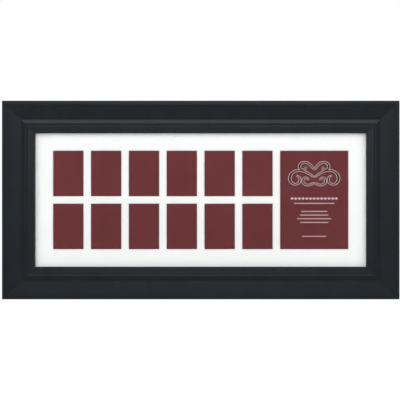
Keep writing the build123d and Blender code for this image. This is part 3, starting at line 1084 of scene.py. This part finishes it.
# %% [markdown]
# Two bent steel nails hold each mitre from behind. A press drives them in until only their top
# edges show, as small shallow waves across the joint. The strip follows an L with a ripple on it,
# and stands a few hundredths of a millimetre proud, as pressed nails do.

# %% V nails
NAIL_LEG, NAIL_SHEET, NAIL_DEPTH = 6.5, 0.6, 9.0
NAIL_PROUD, NAIL_RIPPLE, NAIL_WAVES, NAIL_SKIN = 0.04, 0.08, 1.5, 0.05
NAIL_SHARES = (0.24, 0.72)


def nail_grid(corner, ways_in, inset):
    """A bar along the L, whose middle line ripples from side to side as a sine wave does."""
    run = np.linspace(-NAIL_LEG, NAIL_LEG, 41)
    middle = NAIL_SHEET / 2
    ripple = middle + NAIL_RIPPLE * np.sin(2 * np.pi * NAIL_WAVES * run / NAIL_LEG)
    line = np.stack((np.where(run < 0, -run, ripple), np.where(run > 0, run, ripple)), axis=1)
    side = to_the_left(np.gradient(line, axis=0)) * (middle - NAIL_SKIN)
    one_side, other_side = (
        np.array(corner) + np.array(ways_in) * (inset + line + part) for part in (side, -side)
    )
    proud, deep = back_y + NAIL_PROUD, back_y - NAIL_DEPTH
    return bar(((one_side, proud), (other_side, proud), (other_side, deep), (one_side, deep)))


nails = [
    nail_grid(
        (x_sign * half_width, 0.0 if z_sign < 0 else frame_height),
        (-x_sign, -z_sign),
        share * (moulding_width - lip_width),
    )
    for x_sign in (-1, 1)
    for z_sign in (-1, 1)
    for share in NAIL_SHARES
]
add_piece("corner_v_nails_rippled", nails, [plain_steel], "frame", "corner_v_nails")
print("nails:", len(nails))

# %% [markdown]
# The floor is a wide pale sheet. To the camera, and in reflections, it is almost self-lit white
# with a little of the real shading left in, so it keeps the frame's soft shadow and still reads
# as a clean background. To everything else it is plain pale paint, which bounces an honest amount
# of light up at the frame.

# %% Floor and surroundings
FLOOR_HALF = 14.0
FLOOR_PAINT, FLOOR_GLOW, FLOOR_SHADING = 0.94, 0.93, 0.11
FILL = 0.61


def grey(level):
    """An even grey."""
    return (level, level, level, 1.0)


def seen_directly(tree):
    """One where a ray comes from the camera, by reflection or through clear stuff."""
    ray = add_node(tree, "LightPath").outputs
    seen = ray["Is Camera Ray"]
    for name in ("Is Glossy Ray", "Is Transmission Ray"):
        larger = add_node(tree, "Math")
        larger.operation = "MAXIMUM"
        tree.links.new(seen, larger.inputs[0])
        tree.links.new(ray[name], larger.inputs[1])
        seen = larger.outputs["Value"]
    return seen


floor_mesh = bpy.data.meshes.new("studio_floor")
floor_corners = np.array([(-1, -1, 0), (1, -1, 0), (1, 1, 0), (-1, 1, 0)]) * FLOOR_HALF
floor_mesh.from_pydata(floor_corners.tolist(), [], [(0, 1, 2, 3)])
floor = into_scene("studio_floor", floor_mesh)
floor_paint, tree = empty_material("pale_floor")
plain = add_node(tree, "BsdfDiffuse", Color=grey(FLOOR_PAINT))
shading = add_node(tree, "BsdfDiffuse", Color=grey(FLOOR_SHADING))
glow = add_node(tree, "Emission", Color=grey(1.0), Strength=FLOOR_GLOW)
together = add_node(tree, "AddShader")
tree.links.new(glow.outputs["Emission"], together.inputs[0])
tree.links.new(shading.outputs["BSDF"], together.inputs[1])
show_mix(tree, seen_directly(tree), plain, together)
floor_mesh.materials.append(floor_paint)

world = bpy.data.worlds.new("studio")
bpy.context.scene.world = world
world.use_nodes = True
tree = world.node_tree
fill = tree.nodes["Background"]
fill.inputs["Color"].default_value = grey(1.0)
fill.inputs["Strength"].default_value = FILL
white = add_node(tree, "Background", Color=grey(1.0), Strength=1.0)
show_mix(tree, seen_directly(tree), fill, white)

# %% [markdown]
# Satin black shows its shape only by what it mirrors. A soft box low in front lightens the flat
# parts of the moulding and leaves the sloping cove dark. One overhead, in a faintly rosy light,
# draws the bright line along the bead. Both are seen in reflections alone, so the mat is left as
# it is. Two broad washes, front and back, light the mat and the bare back evenly and are kept out
# of reflections, and a last box gives the metal behind something to mirror. The even white of the
# surroundings does the rest, and its blocked part is the soft shadow under the lip.

# %% Soft boxes
WHITE, ROSY = (1.0, 1.0, 1.0), (1.0, 0.86, 0.9)
MIDDLE = Vector((0.0, 0.0, centre_height * MM))
# Each lamp: width, height, place, brightness, colour, then whether it lights things directly
# and whether reflections show it.
LAMPS = {
    "front_wash": (3.4, 1.5, (0.0, -2.2, 0.95), 1.98, WHITE, True, False),
    "back_wash": (3.4, 1.5, (0.0, 2.2, 0.95), 1.2, WHITE, True, False),
    "front_sheen": (1.5, 0.5, (0.0, -3.2, 0.70), 5.5, WHITE, False, True),
    "back_sheen": (1.5, 1.0, (0.0, 3.2, 0.34), 2.4, WHITE, True, True),
    "overhead": (2.4, 0.8, (0.0, -1.26, 1.97), 7.6, ROSY, False, True),
}


def soft_box(name, width, height, place, radiance, colour, lights, shows):
    """An area lamp of this brightness per square metre, turned to face the frame's middle."""
    data = bpy.data.lights.new(name, "AREA")
    data.shape = "RECTANGLE"
    data.size = width
    data.size_y = height
    data.energy = radiance * width * height * np.pi
    data.color = colour
    lamp = into_scene(name, data)
    lamp.location = place
    lamp.rotation_euler = (MIDDLE - Vector(place)).to_track_quat("-Z", "Y").to_euler()
    lamp.visible_camera = False
    lamp.visible_diffuse = lights
    lamp.visible_glossy = shows


for name, values in LAMPS.items():
    soft_box(name, *values)
print("lamps:", sorted(LAMPS))

# %% [markdown]
# The picture was taken square on with a long lens: the windows stay perfectly rectangular and no
# inner wall shows. The camera stands level with the middle of the frame, a metre and a half in
# front of the sheet, and sees a strip 671.6 millimetres wide there. The frame sits a hair to the
# right of the picture's middle, so the camera stands that much to the left.

# %% Camera
VIEW_WIDTH, VIEW_DISTANCE, FRAME_OFFSET = 671.6, 1500.0, 1.2
SENSOR = 36.0
lens = bpy.data.cameras.new("photo_camera")
lens.sensor_fit = "HORIZONTAL"
lens.sensor_width = SENSOR
lens.lens = SENSOR * VIEW_DISTANCE / VIEW_WIDTH
lens.clip_end = 100.0
camera = into_scene("photo_camera", lens)
camera.location = (-FRAME_OFFSET * MM, (sheet_low[1] - VIEW_DISTANCE) * MM, centre_height * MM)
camera.rotation_euler = (np.pi / 2, 0.0, 0.0)
bpy.context.scene.camera = camera
bpy.context.scene.view_settings.view_transform = "Standard"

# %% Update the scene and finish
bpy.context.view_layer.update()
